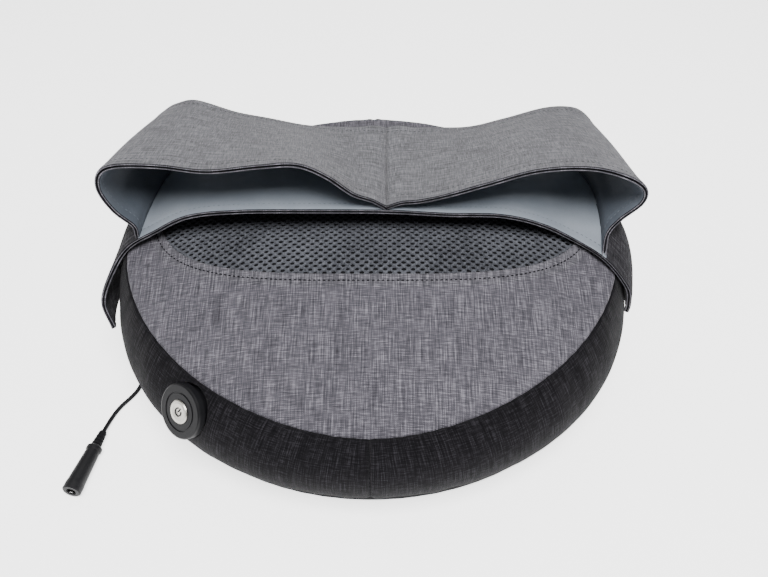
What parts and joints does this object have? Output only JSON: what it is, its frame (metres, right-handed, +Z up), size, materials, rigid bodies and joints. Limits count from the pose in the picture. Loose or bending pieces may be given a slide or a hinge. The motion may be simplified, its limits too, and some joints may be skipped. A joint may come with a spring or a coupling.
{
  "type": "shiatsu neck massager",
  "caption": "Crowned fabric massage cushion with a mesh window over rotating massage heads, a strap with hand loops, a front power button and a short power pigtail.",
  "frame": {"origin": "on the flat underside, below the middle of the cushion's widest line", "axes": "+X right, the cushion's longest side; +Y to the rear; +Z up, out of the mesh window"},
  "size_m": [0.3668, 0.301, 0.1579],
  "materials": {
    "base_cloth": "matt black weave",
    "black_plastic": "matt black",
    "black_rubber": "matt black",
    "brass_part": "turned brass",
    "bright_metal": "bright plate",
    "foam": "open-cell foam, taken as cloth",
    "gloss_black": "semi-gloss black",
    "green_board": "satin solder mask",
    "grey_metal": "satin zinc",
    "heather_cloth": "matt linen-look weave, grey heather",
    "hem_tape": "folded cloth hem",
    "light_plastic": "natural nylon",
    "node_plastic": "satin, dull orange",
    "screw_steel": "bright zinc",
    "silver_paint": "satin silver",
    "spacer_mesh": "open knitted spacer mesh",
    "strap_cloth": "grey heather cloth outside, blue-grey leather-look lining inside",
    "wall_cloth": "matt linen-look weave, charcoal",
    "wire_cover": "matt black sheath"
  },
  "bodies": {
    "root": {"top_panel": "heather_cloth", "mesh_panel": "spacer_mesh", "window_hem": "hem_tape", "side_wall_left": "wall_cloth", "side_wall_right": "wall_cloth", "bottom_panel": "base_cloth", "zip_tape": "base_cloth", "zip_teeth": "black_plastic", "foam_body": "foam", "inner_liner": "base_cloth", "strap_band": "strap_cloth", "hand_loop_left": "strap_cloth", "hand_loop_right": "strap_cloth", "power_housing": "gloss_black", "button_switch": "light_plastic", "switch_board": "green_board", "housing_cap": "black_plastic", "housing_nut": "black_plastic", "lower_housing": "black_plastic", "upper_housing": "black_plastic", "housing_screws": "screw_steel", "motor": "grey_metal", "motor_bracket": "grey_metal", "motor_screws": "screw_steel", "worm_bushes": "brass_part", "wheel_axles": "screw_steel", "axle_clips": "screw_steel", "control_board": "green_board", "driver_chip": "black_plastic", "board_capacitor": "black_plastic", "board_connectors": "light_plastic", "board_screws": "screw_steel", "motor_lead": "wire_cover", "switch_lead": "wire_cover", "supply_lead": "wire_cover", "cable_gland": "black_rubber", "dc_cord": "wire_cover", "socket_relief": "black_rubber", "dc_socket": "black_plastic", "socket_contacts": "bright_metal"},
    "slider": {"zip_slider": "grey_metal"},
    "button": {"power_button": "silver_paint", "switch_plunger": "black_plastic"},
    "worm": {"worm_shaft": "brass_part"},
    "left_head": {"worm_wheel_left": "light_plastic", "wheel_bush_left": "brass_part", "head_carrier_left": "light_plastic", "carrier_screws_left": "screw_steel", "node_pins_left": "screw_steel", "node_washers_left": "light_plastic"},
    "right_head": {"worm_wheel_right": "light_plastic", "wheel_bush_right": "brass_part", "head_carrier_right": "light_plastic", "carrier_screws_right": "screw_steel", "node_pins_right": "screw_steel", "node_washers_right": "light_plastic"},
    "left_large": {"massage_node_left_large": "node_plastic"},
    "left_small": {"massage_node_left_small": "node_plastic"},
    "right_large": {"massage_node_right_large": "node_plastic"},
    "right_small": {"massage_node_right_small": "node_plastic"}
  },
  "joints": [
    {"name": "left_head_spin", "type": "hinge", "parent": "root", "child": "left_head", "pos_m": [-0.054, 0.035, 0.03], "axis": [0, 0, 1], "continuous": true},
    {"name": "right_head_spin", "type": "hinge", "parent": "root", "child": "right_head", "pos_m": [0.054, 0.035, 0.03], "axis": [0, 0, 1], "continuous": true},
    {"name": "worm_spin", "type": "hinge", "parent": "root", "child": "worm", "pos_m": [0, 0.035, 0.03], "axis": [0, 1, 0], "continuous": true},
    {"name": "left_large_node_spin", "type": "hinge", "parent": "left_head", "child": "left_large", "pos_m": [-0.07756, 0.02401, 0.065], "axis": [0, 0, 1], "continuous": true},
    {"name": "left_small_node_spin", "type": "hinge", "parent": "left_head", "child": "left_small", "pos_m": [-0.03044, 0.04599, 0.065], "axis": [0, 0, 1], "continuous": true},
    {"name": "right_large_node_spin", "type": "hinge", "parent": "right_head", "child": "right_large", "pos_m": [0.07756, 0.02401, 0.065], "axis": [0, 0, 1], "continuous": true},
    {"name": "right_small_node_spin", "type": "hinge", "parent": "right_head", "child": "right_small", "pos_m": [0.03044, 0.04599, 0.065], "axis": [0, 0, 1], "continuous": true},
    {"name": "button_press", "type": "slide", "parent": "root", "child": "button", "axis": [0.5624, 0.6469, -0.515], "range_m": [0, 0.0008], "stiffness_N_per_m": 1500},
    {"name": "zip_slide", "type": "slide", "parent": "root", "child": "slider", "axis": [1, 0, 0], "range_m": [0, 0.168]}
  ],
  "couplings": [
    {"joint": "right_head_spin", "follows": "left_head_spin", "ratio": -1},
    {"joint": "worm_spin", "follows": "left_head_spin", "ratio": 64}
  ]
}
